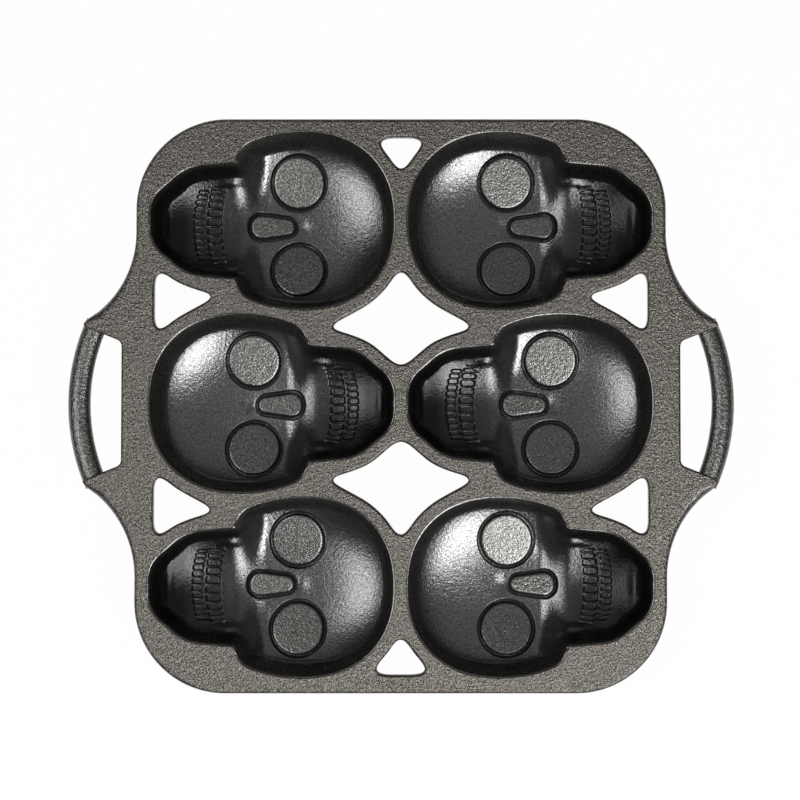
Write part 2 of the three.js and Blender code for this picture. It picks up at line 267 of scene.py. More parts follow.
# The skull, measured along its axis from the crown (u = 0) to the chin, v across it
skull = {
    "crownRun": 52.8,
    "craniumWidth": 102,
    "crownPower": 2.25,  # 2 is an ellipse, more is squarer
    "cheekRun": 34.7,
    "cheekWidth": 86,
    "cheekRound": 5,
    "jawStep": 3.5,
    "notchRound": 1.6,
    "jawBackWidth": 66.6,
    "jawLength": 28,
    "jawFrontWidth": 62,
    "jawRound": 9,
    "chinRun": 21,
    "chinWidth": 25.6,
    "chinRound": 9,
}
jawEdge = skull["crownRun"] + skull["cheekRun"]
skullLength = jawEdge + skull["jawStep"] + skull["jawLength"] + skull["chinRun"]


# The skull's outline pushed outward by grow, always with the same number of points
def skullLoop(grow):
    half = skull["craniumWidth"] / 2 + grow
    angle = np.linspace(0, math.pi / 2, 91)
    power = 2 / skull["crownPower"]
    along = skull["crownRun"] - (skull["crownRun"] + grow) * np.cos(angle).clip(0) ** power
    crown = np.stack([along, half * np.sin(angle) ** power], 1)
    cheekEnd = jawEdge + grow
    span = (skull["cheekRun"] + grow) / math.sqrt(1 - (skull["cheekWidth"] / skull["craniumWidth"]) ** 2)
    u = np.append(np.linspace(skull["crownRun"], cheekEnd - skull["cheekRound"], 32)[1:], cheekEnd)
    cheek = np.stack([u, half * np.sqrt(1 - ((u - skull["crownRun"]) / span) ** 2)], 1)
    miter = math.tan(math.pi / 8) * grow
    notch = np.array([cheekEnd + skull["jawStep"], skull["jawBackWidth"] / 2 + grow])
    jawU = jawEdge + skull["jawStep"] + skull["jawLength"] + miter
    jaw = np.array([jawU, skull["jawFrontWidth"] / 2 + grow])
    chin = np.array([skullLength + grow, skull["chinWidth"] / 2 + miter])
    middle = np.array([skullLength + grow, 0.0])
    cheekCorner = roundCorner(cheek[-2], cheek[-1], notch, skull["cheekRound"], 10)
    notchCorner = roundCorner(cheek[-1], notch, jaw, skull["notchRound"], 5)
    jawCorner = roundCorner(notch, jaw, chin, skull["jawRound"], 16)
    chinCorner = roundCorner(jaw, chin, middle, skull["chinRound"], 16)
    jawSide = np.linspace(notchCorner[-1], jawCorner[0], 20)[1:-1]
    chinSide = np.linspace(jawCorner[-1], chinCorner[0], 12)[1:-1]
    chinFront = np.linspace(chinCorner[-1], middle, 6)[1:]
    upper = np.vstack([crown, cheek[:-1], cheekCorner, notchCorner, jawSide, jawCorner, chinSide,
                       chinCorner, chinFront])
    lower = upper[1:-1] * [1, -1]
    return np.vstack([upper[::-1], lower])


# The cup: a domed face with raised eyes and nose, a step up to the jaw and a thin wall behind it
cup = {
    "faceDepth": 33.5,
    "domeReach": 1.19,  # the dome would end this far out, the walls cut it off
    "domePower": 2.4,
    "jawDepth": 28,
    "jawArch": 41,
    "jawArchLeast": 0.2,  # keeps the arch from closing at the jaw's sides
    "chinDepth": 18,
    "chinPower": 3,
    "stepLow": 75,  # from here to stepHigh the cranium rises to the jaw
    "stepHigh": 95,
    "shellJawRun": 8,
    "wallSlope": 1 / math.tan(math.radians(9)),  # draft of the mould
    "wallInset": 0.18,
    "wallBlend": 0.5,
    "craniumBlend": 11,  # roundness between wall and face
    "jawBlend": 13,
    "rimSlope": 0.3,  # a slight fall around the opening, which catches the light
    "rimReach": 0.75,
    "rimBlend": 0.15,
    "eyeU": 57,
    "eyeV": 25.8,
    "eyeRadius": 14.4,
    "eyeDepth": 29,
    "eyeTilt": math.tan(math.radians(11)),
    "eyeLean": math.tan(math.radians(2.5)),
    "noseBack": 60,
    "noseFront": 84.6,
    "noseBackHalf": 4.2,
    "noseFrontHalf": 6.3,
    "noseBackRound": 4.1,
    "noseFrontRound": 5.7,
    "noseDepth": 30.6,
    "socketSlope": 1 / math.tan(math.radians(13)),
    "socketBlend": 3,
    "footBlend": 0.2,
    "moatWidth": 2.8,
    "moatSlope": 3.1,
    "moatLip": 0.5,
    "moatFoot": 0.5,
    "satinStart": (0.01, 0.08),  # depths over which the deck's skin ends
    "wallSatin": 0.45,
    "wallTop": (0.4, 1.2),  # depths over which the rough wall begins
    "wallFoot": (8, 24),  # and ends
    "padSatin": 0.75,
    "padEdge": (-0.9, -0.2),  # distances beyond the pad's edge
    # Painted shade in the jaw: how dark it is along the middle by u, along the sides, and by depth
    "jawPaintedShade": ((84, 0), (93, 0.5), (104, 0.66), (116, 0.68), (124, 0.92)),  # u and share
    "jawSidePaintedShade": 0.68,
    "jawSideStart": (86, 94),  # along u
    "jawSideReach": (3, 8),  # distances in from the outline
    "paintedShadeDepth": (1, 8),
    "wallThickness": 4.5,
    "deckThickness": 6,
    "rimLand": 1.3,  # how far the cup reaches into the deck at the top
    "filletReach": 3.1,  # and at the underside
}


def faceAt(u, v):
    crownRun = skull["crownRun"]
    run = np.where(u < crownRun, crownRun * cup["domeReach"], skullLength - crownRun)
    reach = np.hypot((u - crownRun) / run, v / (skull["craniumWidth"] / 2 * cup["domeReach"]))
    dome = cup["faceDepth"] * np.maximum(1 - reach ** cup["domePower"], 0) ** (1 / cup["domePower"])
    chin = np.clip((u - jawEdge) / (skullLength - jawEdge), 0, 1) ** cup["chinPower"]
    jawFloor = cup["jawDepth"] + (cup["chinDepth"] - cup["jawDepth"]) * chin
    jaw = jawFloor * np.sqrt(np.maximum(1 - (v / cup["jawArch"]) ** 2, cup["jawArchLeast"]))
    return dome + (jaw - dome) * smoothStep(u, cup["stepLow"], cup["stepHigh"])


# Small forms of the face, each a soft dent or hump, mirrored across the axis
features = {
    "cheekHollow": {"depth": 0.9, "u": 80, "v": 19, "long": 6, "wide": 9},
    "noseBridge": {"depth": 0.8, "u": 55.5, "v": 0, "long": 4, "wide": 4.5},
    "jawCorner": {"depth": -1.0, "u": 95.5, "v": 24.6, "long": 4.5, "wide": 1.8},
    "chinFold": {"depth": 0.9, "u": 131.5, "v": 0, "long": 2.6, "wide": 12},
}


def featuresAt(u, v):
    depth = np.zeros(len(u))
    for form in features.values():
        along, across = u - form["u"], np.abs(v) - form["v"]
        depth += form["depth"] * hump(along, form["long"]) * hump(across, form["wide"])
    return depth


# The nose's outline: a small arc at the back and a larger one in front, joined by straight sides
def noseLoop(grow):
    backRound, frontRound = cup["noseBackRound"], cup["noseFrontRound"]
    back = np.array([cup["noseBack"] + backRound, cup["noseBackHalf"] - backRound])
    front = np.array([cup["noseFront"] - frontRound, cup["noseFrontHalf"] - frontRound])
    run, rise = front - back
    widening = math.asin((frontRound - backRound) / math.hypot(run, rise))
    lean = math.pi / 2 + math.atan2(rise, run) + widening
    arcs = []
    for centre, radius, start, end in ((front, frontRound, 0, lean), (back, backRound, lean, math.pi)):
        angle = np.linspace(start, end, 13)
        arcs.append(centre + (radius + grow) * np.stack([np.cos(angle), np.sin(angle)], 1))
    tip = arcs[0][0] * [[1, 0.3], [1, 0.7]]
    upper = np.vstack([tip, arcs[0], np.linspace(arcs[0][-1], arcs[1][0], 22)[1:-1], arcs[1]])
    return np.vstack([upper, upper[::-1] * [1, -1]])


# Distance beyond an eye's edge, negative on the eye
def eyeDistance(points, side):
    return np.hypot(points[:, 0] - cup["eyeU"], side * points[:, 1] - cup["eyeV"]) - cup["eyeRadius"]


# Depth of the cavity and how satin its skin is: the deck's grain lingers on the walls and the pads
def cavityAt(points):
    u, v = points.T
    jawness = smoothStep(u, cup["stepLow"], cup["stepHigh"])
    blend = cup["craniumBlend"] + (cup["jawBlend"] - cup["craniumBlend"]) * jawness
    inside = loopDistance(points, skullLoop(0))
    bevel = smoothMax(0, (inside + cup["rimReach"]) * cup["rimSlope"], cup["rimBlend"])
    wall = smoothMax(bevel, (inside - cup["wallInset"]) * cup["wallSlope"], cup["wallBlend"])
    depth = smoothMin(wall, faceAt(u, v) + featuresAt(u, v), blend)
    worn = np.maximum(1 - smoothStep(depth, *cup["wallTop"]), smoothStep(depth, *cup["wallFoot"]))
    satin = cup["wallSatin"] + (1 - cup["wallSatin"]) * worn
    satin = smoothStep(depth, *cup["satinStart"]) * satin
    pads = [(-loopDistance(points, noseLoop(0)), cup["noseDepth"])]
    for side in (-1, 1):
        along, across = u - cup["eyeU"], side * v - cup["eyeV"]
        top = cup["eyeDepth"] - across * cup["eyeTilt"] + along * cup["eyeLean"]
        pads.append((eyeDistance(points, side), top))
    for beyond, top in pads:
        pad = top + smoothMax(0, beyond * cup["moatSlope"], cup["moatLip"])
        moat = depth + smoothMax(0, (cup["moatWidth"] - beyond) * cup["moatSlope"], cup["moatLip"])
        depth = smoothMin(moat, pad, cup["moatFoot"])
        edge = smoothStep(beyond, *cup["padEdge"])
        satin = np.minimum(satin, cup["padSatin"] + (1 - cup["padSatin"]) * edge)
    return depth, satin


# Painted shade on the jaw: darker towards the chin, even along the sides, growing with depth, none at the
# rim
def paintedShadeAt(points, depth):
    u = points[:, 0]
    middle = np.interp(u, *zip(*cup["jawPaintedShade"]))
    side = cup["jawSidePaintedShade"] * smoothStep(u, *cup["jawSideStart"])
    inward = smoothStep(loopDistance(points, skullLoop(0)), *cup["jawSideReach"])
    return (side + (middle - side) * inward) * smoothStep(depth, *cup["paintedShadeDepth"])


# Depth of the cup's underside, with a socket under each eye and flat feet at the floor
def shellAt(points):
    u, v = points.T
    jawness = smoothStep(u, jawEdge - cup["shellJawRun"], jawEdge)
    blend = cup["craniumBlend"] + (cup["jawBlend"] - cup["craniumBlend"]) * jawness
    reach = cup["filletReach"] - cup["rimLand"]
    fall = loopDistance(points, skullLoop(cup["rimLand"])) * cup["wallSlope"]
    wall = cup["deckThickness"] + smoothMax(0, fall, reach * cup["wallSlope"])
    depth = smoothMin(wall, faceAt(u, v) + cup["wallThickness"], blend)
    for side in (-1, 1):
        beyond = eyeDistance(points, side) + cup["wallThickness"]
        rise = smoothMax(0, beyond * cup["socketSlope"], cup["socketBlend"])
        depth = smoothMin(depth, cup["eyeDepth"] + cup["wallThickness"] + rise, cup["socketBlend"])
    return smoothMin(depth, panHeight, cup["footBlend"])


def gridPoints(low, high, spacing):
    rowGap = spacing * math.sqrt(3) / 2
    u, v = np.meshgrid(np.arange(low[0], high[0], spacing), np.arange(low[1], high[1], rowGap))
    shift = np.where(np.arange(len(u)) % 2, spacing / 2, 0.0)[:, None]
    return np.stack([(u + shift).ravel(), v.ravel()], 1)


def ringSet(loopOf, grows):
    return np.vstack([loopOf(grow) for grow in grows])


def eyeLoop(side, radius):
    angle = np.linspace(0, 2 * math.pi, 100, endpoint=False)
    centre = [cup["eyeU"], side * cup["eyeV"]]
    return centre + radius * np.stack([np.cos(angle), np.sin(angle)], 1)


# Where the cup is sampled: rings along its rim, eyes and nose, fine rows at the teeth, a plain grid
# between. A ring is given by its distance outward from its outline.
samples = {
    "rimRings": [1.3, 1, 0.85, 0.7, 0.55, 0.4, 0.25, 0.1, -0.05, -0.2, -0.5, -0.9, -1.4, -2.1, -3, -4,
                 -5],
    "padRings": [-2.4, -1.5, -0.9, -0.45, -0.3, -0.15, 0, 0.15, 0.3, 0.5, 0.8, 1.1, 1.35, 1.6, 1.9, 2.2,
                 2.5, 2.65, 2.8, 2.95, 3.1, 3.5],
    "padGap": (-3, 4.2),  # no grid between these distances from a pad's edge
    "padRimGap": 5.3,  # least distance from the rim
    "grid": ((1, -50), (139, 50)),
    "gridStep": 1.3,
    "gridRimGap": 5.5,
    "toothGrid": ((99.6, -25), (121, 25)),
    "toothStep": 0.38,
    "toothGap": (0.4, 0.6),
    "shellRings": [3.1, 2.7, 2.3, 1.9, 1.5, 1.1, 0.7, 0.3, -0.2, -1, -2, -3.2],
    "socketRings": [-1.4, -0.8, -0.3, 0.1, 0.5, 1, 1.5, 2, 2.6, 3.4],
    "socketGap": (-7.4, 0),
    "shellGridStep": 2,
    "shellRimGap": 4.2,
}


def cavityPoints():
    rim = ringSet(skullLoop, samples["rimRings"])
    eyes = [ringSet(lambda grow: eyeLoop(side, cup["eyeRadius"] + grow), samples["padRings"])
            for side in (-1, 1)]
    pads = np.vstack([*eyes, ringSet(noseLoop, samples["padRings"])])
    pads = pads[loopDistance(pads, skullLoop(0)) > samples["padRimGap"]]
    plain = gridPoints(*samples["grid"], samples["gridStep"])
    low, high = np.array(samples["toothGrid"])
    inTeeth = (np.abs(plain - (low + high) / 2) < (high - low) / 2 + samples["toothGap"]).all(1)
    grid = np.vstack([plain[~inTeeth], gridPoints(low, high, samples["toothStep"])])
    clear = loopDistance(grid, skullLoop(0)) > samples["gridRimGap"]
    onPad, offPad = samples["padGap"]
    for beyond in (eyeDistance(grid, -1), eyeDistance(grid, 1), -loopDistance(grid, noseLoop(0))):
        clear &= (beyond > offPad) | (beyond < onPad)
    return np.vstack([rim, pads, grid[clear]])


def shellPoints():
    rim = ringSet(skullLoop, samples["shellRings"])
    socketRadius = cup["eyeRadius"] - cup["wallThickness"]
    sockets = [ringSet(lambda grow: eyeLoop(side, socketRadius + grow), samples["socketRings"])
               for side in (-1, 1)]
    grid = gridPoints(*samples["grid"], samples["shellGridStep"])
    clear = loopDistance(grid, skullLoop(0)) > samples["shellRimGap"]
    inSocket, offSocket = samples["socketGap"]
    for side in (-1, 1):
        beyond = eyeDistance(grid, side)
        clear &= (beyond > offSocket) | (beyond < inSocket)
    return np.vstack([rim, *sockets, grid[clear]])


# Quads between two rings of points, given by the index that each ring starts at
def strip(upper, lower, count):
    quads = []
    for i in range(count):
        j = (i + 1) % count
        quads.append([upper + i, lower + i, lower + j, upper + j])
    return quads


# One cup about its own middle, the chin towards +X
def makeCup():
    inner, outer = cavityPoints(), shellPoints()
    count = len(skullLoop(0))
    loop = [list(range(count))]
    innerFaces = fillLoops(inner, loop)
    outerFaces = [[i + len(inner) for i in reversed(face)] for face in fillLoops(outer, loop)]
    cavity, satin = cavityAt(inner)
    depth = np.concatenate([cavity, shellAt(outer)])
    flat = np.vstack([inner, outer]) - [skullLength / 2, 0]
    points = np.column_stack([flat, panHeight - depth])
    faces = innerFaces + outerFaces + strip(0, len(inner), count)
    rows = np.arange(len(points))
    onRim = (rows < count) | ((rows >= len(inner)) & (rows < len(inner) + count))
    mesh = makeMesh("skullCup", points, faces, onRim)
    # The satin skin and the painted shade that darkens the jaw go onto the cavity's points
    for name, skin in (("satin", satin), ("paintedShade", paintedShadeAt(inner, cavity))):
        values = np.concatenate([skin, np.zeros(len(outer))])
        mesh.attributes.new(name, "FLOAT", "POINT").data.foreach_set("value", values)
    mesh.attributes.new("cavity", "BOOLEAN", "POINT").data.foreach_set("value", rows < len(inner))
    return mesh


# Teeth: two curved rows of shallow pockets pressed into the jaw
teeth = {
    "upper": {"Teeth": 12, "Arch Radius": 23.3, "Tooth Angle": 13.15, "Row Place": 106.4, "Bow": 5.2,
              "Tooth Length": 9.4, "Pocket Depth": 1.5},
    "lower": {"Teeth": 12, "Arch Radius": 24, "Tooth Angle": 9.84, "Row Place": 115.5, "Bow": 8,
              "Tooth Length": 6.8, "Pocket Depth": 1.4},
}


def makeToothTree():
    tree = newTree("toothRow", {
        "Geometry": "Geometry", "Teeth": "Int", "Arch Radius": "Float", "Tooth Angle": "Float",
        "Row Place": "Float", "Bow": "Float", "Tooth Length": "Float", "Pocket Depth": "Float",
        "Material": "Material",
    })
    given = addNode(tree, "NodeGroupInput").outputs
    index = addNode(tree, "GeometryNodeInputIndex").outputs["Index"]
    last = addNode(tree, "ShaderNodeMath", {"operation": "SUBTRACT"}, {
        0: given["Teeth"], 1: 1.0}).outputs["Value"]
    middle = addNode(tree, "ShaderNodeMath", {"operation": "MULTIPLY"}, {
        0: last, 1: 0.5}).outputs["Value"]
    order = addNode(tree, "ShaderNodeMath", {"operation": "SUBTRACT"}, {
        0: index, 1: middle}).outputs["Value"]
    angle = addNode(tree, "ShaderNodeMath", {"operation": "MULTIPLY"}, {
        0: order, 1: given["Tooth Angle"]}).outputs["Value"]
    sine = addNode(tree, "ShaderNodeMath", {"operation": "SINE"}, {0: angle}).outputs["Value"]
    cosine = addNode(tree, "ShaderNodeMath", {"operation": "COSINE"}, {0: angle}).outputs["Value"]
    across = addNode(tree, "ShaderNodeMath", {"operation": "MULTIPLY"}, {
        0: sine, 1: given["Arch Radius"]}).outputs["Value"]
    setBack = addNode(tree, "ShaderNodeMath", {"operation": "SUBTRACT"}, {
        0: cosine, 1: 1.0}).outputs["Value"]
    along = addNode(tree, "ShaderNodeMath", {"operation": "MULTIPLY_ADD"}, {
        0: setBack, 1: given["Bow"], 2: given["Row Place"]}).outputs["Value"]
    place = addNode(tree, "ShaderNodeCombineXYZ", None, {"X": along, "Y": across}).outputs["Vector"]
    points = addNode(tree, "GeometryNodePoints", None, {
        "Count": given["Teeth"], "Position": place}).outputs["Points"]
    halfAngle = addNode(tree, "ShaderNodeMath", {"operation": "MULTIPLY"}, {
        0: given["Tooth Angle"], 1: 0.5}).outputs["Value"]
    halfChord = addNode(tree, "ShaderNodeMath", {"operation": "MULTIPLY"}, {
        0: halfAngle, 1: given["Arch Radius"]}).outputs["Value"]
    halfWidth = addNode(tree, "ShaderNodeMath", {"operation": "MULTIPLY"}, {
        0: halfChord, 1: cosine}).outputs["Value"]
    spot = addNode(tree, "GeometryNodeInputPosition").outputs["Position"]
    flat = addNode(tree, "ShaderNodeVectorMath", {"operation": "MULTIPLY"}, {
        0: spot, 1: (1, 1, 0)}).outputs["Vector"]
    nearest = addNode(tree, "GeometryNodeSampleNearest", None, {
        "Geometry": points, "Sample Position": flat}).outputs["Index"]
    toothPlace = addNode(tree, "GeometryNodeSampleIndex", {"data_type": "FLOAT_VECTOR"}, {
        "Geometry": points, "Value": spot, "Index": nearest}).outputs["Value"]
    toothHalf = addNode(tree, "GeometryNodeSampleIndex", {"data_type": "FLOAT"}, {
        "Geometry": points, "Value": halfWidth, "Index": nearest}).outputs["Value"]
    toothLong = addNode(tree, "ShaderNodeMath", {"operation": "MULTIPLY"}, {
        0: given["Tooth Length"], 1: 0.5}).outputs["Value"]
    size = addNode(tree, "ShaderNodeCombineXYZ", None, {
        "X": toothLong, "Y": toothHalf, "Z": 1.0}).outputs["Vector"]
    offset = addNode(tree, "ShaderNodeVectorMath", {"operation": "SUBTRACT"}, {
        0: flat, 1: toothPlace}).outputs["Vector"]
    share = addNode(tree, "ShaderNodeVectorMath", {"operation": "DIVIDE"}, {
        0: offset, 1: size}).outputs["Vector"]
    square = addNode(tree, "ShaderNodeVectorMath", {"operation": "MULTIPLY"}, {
        0: share, 1: share}).outputs["Vector"]
    edge = addNode(tree, "ShaderNodeVectorMath", {"operation": "LENGTH"}, {0: square}).outputs["Value"]
    pocket = addNode(tree, "ShaderNodeMapRange", {"interpolation_type": "SMOOTHSTEP"}, {
        "Value": edge, "From Min": 0.5, "From Max": 1.0, "To Min": 1.0, "To Max": 0.0}).outputs["Result"]
    depth = addNode(tree, "ShaderNodeMath", {"operation": "MULTIPLY"}, {
        0: pocket, 1: given["Pocket Depth"]}).outputs["Value"]
    down = addNode(tree, "ShaderNodeVectorMath", {"operation": "SCALE"}, {
        0: (0, 0, -1), "Scale": depth}).outputs["Vector"]
    cavity = addNode(tree, "GeometryNodeInputNamedAttribute", {"data_type": "BOOLEAN"}, {
        "Name": "cavity"}).outputs["Attribute"]
    pressed = addNode(tree, "GeometryNodeSetPosition", None, {
        "Geometry": given["Geometry"], "Selection": cavity, "Offset": down}).outputs["Geometry"]
    realized = addNode(tree, "GeometryNodeRealizeInstances", None, {
        "Geometry": pressed}).outputs["Geometry"]
    finished = addNode(tree, "GeometryNodeSetMaterial", None, {
        "Geometry": realized, "Material": given["Material"]}).outputs["Geometry"]
    addNode(tree, "NodeGroupOutput", None, {"Geometry": finished})
    return tree


def toothValues(row):
    values = {key: value * mm for key, value in row.items()}
    values["Teeth"] = row["Teeth"]
    values["Tooth Angle"] = math.radians(row["Tooth Angle"])
    values["Row Place"] = (row["Row Place"] - skullLength / 2) * mm
    values["Material"] = castIron
    return values


toothTree = makeToothTree()
cupMesh = runTrees(makeCup(), [(toothTree, toothValues(row)) for row in teeth.values()])
cupMesh.attributes.remove(cupMesh.attributes["cavity"])

# The cups sit where the frame has them, jaws outward in the outer rows and inward in the middle row
cupFacing = {
    "back_left": -1,
    "back_right": 1,
    "middle_left": 1,
    "middle_right": -1,
    "front_left": -1,
    "front_right": 1,
}
cupPlaces = {}
for place, facing in cupFacing.items():
    low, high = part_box("skull_cup_" + place)
    middleX, middleY = (low.x + high.x) / 2, (low.y + high.y) / 2
    cupPlaces[place] = (middleX / mm, middleY / mm, facing)
    mesh = cupMesh.copy()
    points = np.empty(3 * len(mesh.vertices))
    mesh.vertices.foreach_get("co", points)
    points = points.reshape(-1, 3) * [facing, facing, 1] + [middleX, middleY, 0]
    mesh.vertices.foreach_set("co", points.ravel())
    mesh.update()
    name = "skullCup" + place.title().replace("_", "")
    mesh.name = name
    makePiece(name, mesh, "skull_cup_" + place)
bpy.data.meshes.remove(cupMesh)
backRow, middleRow, frontRow = (cupPlaces[row + "_left"][1] for row in ("back", "middle", "front"))
print("cups ready")

# Grip bars: an oval section swept along an arc, running out to nothing under the ears
grip = {
    "radius": 113.7,
    "openingX": 160,
    "openingLength": 70.6,
    "width": 12.8,
    "thickness": 10,
    "drop": 1.2,
    "rootLength": 5,
    "satin": 0.65,
    "outerX": startBounds[1].x / mm,
}
grip["centreX"] = grip["outerX"] - grip["width"] / 2 - grip["radius"]
grip["angle"] = math.atan2(grip["openingLength"] / 2, grip["openingX"] - grip["centreX"])
gripZ = panHeight - grip["drop"] - grip["thickness"] / 2


def makeGripTree():
    tree = newTree("gripSweep", {
        "Radius": "Float", "Half Angle": "Float", "Root Angle": "Float", "Width": "Float",
        "Thickness": "Float", "Place": "Vector", "Turn": "Float", "Satin": "Float",
        "Material": "Material",
    })
    given = addNode(tree, "NodeGroupInput").outputs
    reach = addNode(tree, "ShaderNodeMath", {"operation": "ADD"}, {
        0: given["Half Angle"], 1: given["Root Angle"]}).outputs["Value"]
    start = addNode(tree, "ShaderNodeMath", {"operation": "MULTIPLY"}, {
        0: reach, 1: -1.0}).outputs["Value"]
    sweep = addNode(tree, "ShaderNodeMath", {"operation": "MULTIPLY"}, {
        0: reach, 1: 2.0}).outputs["Value"]
    arc = addNode(tree, "GeometryNodeCurveArc", None, {
        "Resolution": 160, "Radius": given["Radius"],
        "Start Angle": start, "Sweep Angle": sweep}).outputs["Curve"]
    upright = addNode(tree, "GeometryNodeSetCurveNormal", {"mode": "Z_UP"}, {
        "Curve": arc}).outputs["Curve"]
    spot = addNode(tree, "GeometryNodeInputPosition").outputs["Position"]
    parts = addNode(tree, "ShaderNodeSeparateXYZ", None, {"Vector": spot}).outputs
    angle = addNode(tree, "ShaderNodeMath", {"operation": "ARCTAN2"}, {
        0: parts["Y"], 1: parts["X"]}).outputs["Value"]
    size = addNode(tree, "ShaderNodeMath", {"operation": "ABSOLUTE"}, {0: angle}).outputs["Value"]
    taper = addNode(tree, "ShaderNodeMapRange", None, {
        "Value": size, "From Min": given["Half Angle"], "From Max": reach}).outputs["Result"]
    squared = addNode(tree, "ShaderNodeMath", {"operation": "MULTIPLY"}, {
        0: taper, 1: taper}).outputs["Value"]
    left = addNode(tree, "ShaderNodeMath", {"operation": "SUBTRACT"}, {
        0: 1.001, 1: squared}).outputs["Value"]
    girth = addNode(tree, "ShaderNodeMath", {"operation": "SQRT"}, {0: left}).outputs["Value"]
    tapered = addNode(tree, "GeometryNodeSetCurveRadius", None, {
        "Curve": upright, "Radius": girth}).outputs["Curve"]
    ring = addNode(tree, "GeometryNodeCurvePrimitiveCircle", None, {
        "Resolution": 48, "Radius": 0.5}).outputs["Curve"]
    section = addNode(tree, "ShaderNodeCombineXYZ", None, {
        "X": given["Width"], "Y": given["Thickness"], "Z": 1.0}).outputs["Vector"]
    oval = addNode(tree, "GeometryNodeTransform", None, {
        "Geometry": ring, "Scale": section}).outputs["Geometry"]
    bar = addNode(tree, "GeometryNodeCurveToMesh", None, {
        "Curve": tapered, "Profile Curve": oval, "Fill Caps": True}).outputs["Mesh"]
    turn = addNode(tree, "ShaderNodeCombineXYZ", None, {"Z": given["Turn"]}).outputs["Vector"]
    placed = addNode(tree, "GeometryNodeTransform", None, {
        "Geometry": bar, "Translation": given["Place"], "Rotation": turn}).outputs["Geometry"]
    smooth = addNode(tree, "GeometryNodeSetShadeSmooth", None, {"Geometry": placed}).outputs["Geometry"]
    worn = addNode(tree, "GeometryNodeStoreNamedAttribute", {"data_type": "FLOAT"}, {
        "Geometry": smooth, "Name": "satin", "Value": given["Satin"]}).outputs["Geometry"]
    realized = addNode(tree, "GeometryNodeRealizeInstances", None, {
        "Geometry": worn}).outputs["Geometry"]
    finished = addNode(tree, "GeometryNodeSetMaterial", None, {
        "Geometry": realized, "Material": given["Material"]}).outputs["Geometry"]
    addNode(tree, "NodeGroupOutput", None, {"Geometry": finished})
    return tree


gripTree = makeGripTree()
for name, node, side in (("gripRight", "handle_right", 1), ("gripLeft", "handle_left", -1)):
    mesh = runTrees(bpy.data.meshes.new(name), [(gripTree, {
        "Radius": grip["radius"] * mm,
        "Half Angle": grip["angle"],
        "Root Angle": grip["rootLength"] / grip["radius"],
        "Width": grip["width"] * mm,
        "Thickness": grip["thickness"] * mm,
        "Place": (side * grip["centreX"] * mm, middleRow * mm, gripZ * mm),
        "Turn": 0 if side > 0 else math.pi,
        "Satin": grip["satin"],
        "Material": castIron,
    })])
    mesh.name = name
    makePiece(name, mesh, node)
print("grip bars ready")

# The deck: a flat plate with rounded edges, eight web holes and an ear at each end of both grip bars
deck = {
    "thickness": cup["deckThickness"],
    "halfWidth": 152,
    "halfDepth": startBounds[1].y / mm,
    "cornerRadius": 52,
    "edgeRound": 1.5,
    "earEdgeRound": 4.6,
    "endRound": 0.9,
    "underRound": 1.2,
    "earRound": 6.8,
    "flareShare": 0.81,
    "openingRound": 3,
    "tipRound": 3,
    "holeWeb": 7.8,  # iron left around the cups
    "holeMargin": 10.6,  # iron left at the deck's straight sides
    "holeTipRound": 10,
    "holeSideRound": 16,
    "holeEdgeRound": 1.2,
    "holeGap": 0.9,  # between the points of a hole's outline
    "tipEdgeRound": 0.2,
    "tipEdgeGrowth": 0.35,
    "edgeLand": 0.3,
    "edgeSatin": 0.7,  # handling has worn the edges smoother
    "edgeSatinRings": 3,  # rings over which that sets in
}


# A quarter of the deck's edge from the grip opening to the middle of the far side, with its rounding
def deckQuarter(halfDepth):
    outer = grip["radius"] + grip["width"] / 2
    tip = np.array([grip["centreX"] + outer * math.cos(grip["angle"]), outer * math.sin(grip["angle"])])
    inner = np.array([grip["openingX"], grip["openingLength"] / 2])
    cornerX = deck["halfWidth"] - deck["cornerRadius"]
    cornerY = halfDepth - deck["cornerRadius"]
    flareY = tip[1] + (cornerY - tip[1]) * deck["flareShare"]
    end = tip + [-deck["earRound"], deck["earRound"]]
    flareOut = end[0] - deck["halfWidth"]
    flareRadius = (flareOut ** 2 + (flareY - end[1]) ** 2) / (2 * flareOut)
    flareSweep = math.acos(1 - flareOut / flareRadius)
    control = np.array([tip[0], end[1] - (tip[0] - end[0]) / math.tan(flareSweep)])
    start = np.array([grip["openingX"], 0.0])
    innerCorner = roundCorner(start, inner, tip, deck["openingRound"], 8)
    tipStart = tip + (inner - tip) / np.linalg.norm(inner - tip) * deck["tipRound"]
    t = np.linspace(0, 1, 15)[:, None]
    shoulder = (1 - t) ** 3 * tipStart + 3 * t * (1 - t) ** 2 * tip
    shoulder = shoulder + 3 * t ** 2 * (1 - t) * control + t ** 3 * end
    sweep = np.linspace(math.pi + flareSweep, math.pi, 50)[1:]
    flare = np.stack([deck["halfWidth"] + flareRadius * (1 + np.cos(sweep)),
                      flareY + flareRadius * np.sin(sweep)], 1)
    corner = np.linspace(0, math.pi / 2, 50)
    bend = np.stack([cornerX + deck["cornerRadius"] * np.cos(corner),
                     cornerY + deck["cornerRadius"] * np.sin(corner)], 1)
    parts = [
        (np.linspace(start, innerCorner[0], 12)[:-1], deck["endRound"], deck["endRound"]),
        (innerCorner, deck["endRound"], deck["endRound"]),
        (np.linspace(innerCorner[-1], tipStart, 14)[1:-1], deck["endRound"], deck["endRound"]),
        (shoulder, deck["endRound"], deck["earEdgeRound"]),
        (flare, deck["earEdgeRound"], deck["edgeRound"]),
        (np.linspace(flare[-1], bend[0], 5)[1:-1], deck["edgeRound"], deck["edgeRound"]),
        (bend, deck["edgeRound"], deck["edgeRound"]),
        (np.linspace(bend[-1], [0, halfDepth], 40)[1:], deck["edgeRound"], deck["edgeRound"]),
    ]
    line = np.vstack([points for points, first, last in parts])
    rounding = np.concatenate([np.linspace(first, last, len(points)) for points, first, last in parts])
    room = deck["tipEdgeRound"] + deck["tipEdgeGrowth"] * np.linalg.norm(line - tip, axis=1)
    return line, np.minimum(rounding, room)


